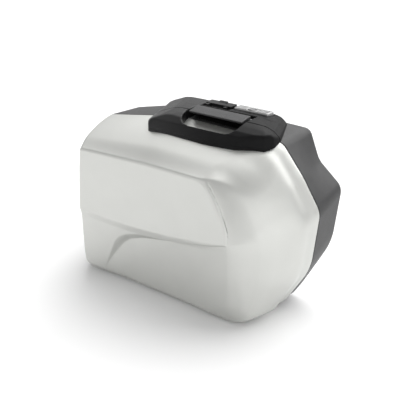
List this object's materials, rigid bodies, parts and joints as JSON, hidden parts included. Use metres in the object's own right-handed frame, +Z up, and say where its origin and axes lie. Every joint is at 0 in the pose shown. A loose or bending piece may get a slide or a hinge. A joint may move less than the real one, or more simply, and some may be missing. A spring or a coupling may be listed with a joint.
{
  "type": "motorcycle side case",
  "caption": "Rigid motorcycle side case with a rounded painted lid hinged at the bottom, a dark base that clips to a carrier, and a key-locked carrying handle.",
  "frame": {"origin": "centre of the case's footprint on the ground", "axes": "+X along the case towards its rounded nose, +Y towards the motorcycle, +Z up"},
  "size_m": [0.57, 0.236, 0.382],
  "materials": {
    "lid_paint": "satin silver metallic paint",
    "base_plastic": "fine grained, dark grey",
    "handle_plastic": "fine grained, near black",
    "rubber": "matte",
    "lock_metal": "satin die cast",
    "webbing": "woven",
    "black_steel": "black powder coat",
    "steel": "zinc plated"
  },
  "bodies": {
    "base": {"base_shell": "base_plastic", "seal_channel": "base_plastic", "rim_seal": "rubber", "handle_housing": "handle_plastic", "finger_well": "handle_plastic", "grip_rod": "steel", "grip_spring": "steel", "latch_spring": "steel", "lock_body": "lock_metal", "base_hinge_leaf_left": "steel", "base_hinge_leaf_right": "steel", "hinge_pin_left": "steel", "hinge_pin_right": "steel", "base_hinge_screws": "steel", "base_feet": "rubber", "carrier_plate": "black_steel", "carrier_socket_left": "steel", "carrier_socket_right": "steel", "claw_case": "base_plastic", "claw_rod": "steel", "back_buffers": "rubber", "carrier_screws": "steel", "luggage_strap_left": "webbing", "luggage_strap_right": "webbing", "strap_buckle": "handle_plastic", "strap_anchors": "handle_plastic"},
    "lid": {"lid_shell": "lid_paint", "lid_frame": "base_plastic", "handle_front": "handle_plastic", "striker_left": "steel", "striker_right": "steel", "lid_hinge_leaf_left": "steel", "lid_hinge_leaf_right": "steel", "lid_hinge_screws": "steel", "lid_feet": "rubber"},
    "grip": {"grip_bar": "handle_plastic"},
    "latch": {"latch_shaft": "steel", "thumb_lever": "handle_plastic", "latch_hook_left": "steel", "latch_hook_right": "steel"},
    "claw": {"carrier_claw": "black_steel"},
    "lock": {"lock_plug": "lock_metal", "lock_cam": "steel"}
  },
  "joints": [
    {"name": "lid_hinge", "type": "hinge", "parent": "base", "child": "lid", "pos_m": [0, 0.018, 0.0052], "axis": [1, 0, 0], "range_deg": [0, 75]},
    {"name": "grip_hinge", "type": "hinge", "parent": "base", "child": "grip", "pos_m": [0.0615, 0.044, 0.371], "axis": [-1, 0, 0], "range_deg": [0, 70], "stiffness_Nm_per_rad": 0.05, "springref_deg": -34.38},
    {"name": "claw_turn", "type": "hinge", "parent": "base", "child": "claw", "pos_m": [0.03, 0.105, 0.322], "axis": [-1, 0, 0], "range_deg": [0, 26]},
    {"name": "latch_press", "type": "hinge", "parent": "base", "child": "latch", "pos_m": [0.05, 0.063, 0.3673], "axis": [-1, 0, 0], "range_deg": [0, 5], "stiffness_Nm_per_rad": 0.6, "springref_deg": -11.46},
    {"name": "lock_turn", "type": "hinge", "parent": "base", "child": "lock", "pos_m": [0.088, 0.082, 0.37], "axis": [0, 0, 1], "range_deg": [0, 90]}
  ],
  "couplings": [
    {"joint": "claw_turn", "follows": "grip_hinge", "ratio": 0.36}
  ]
}
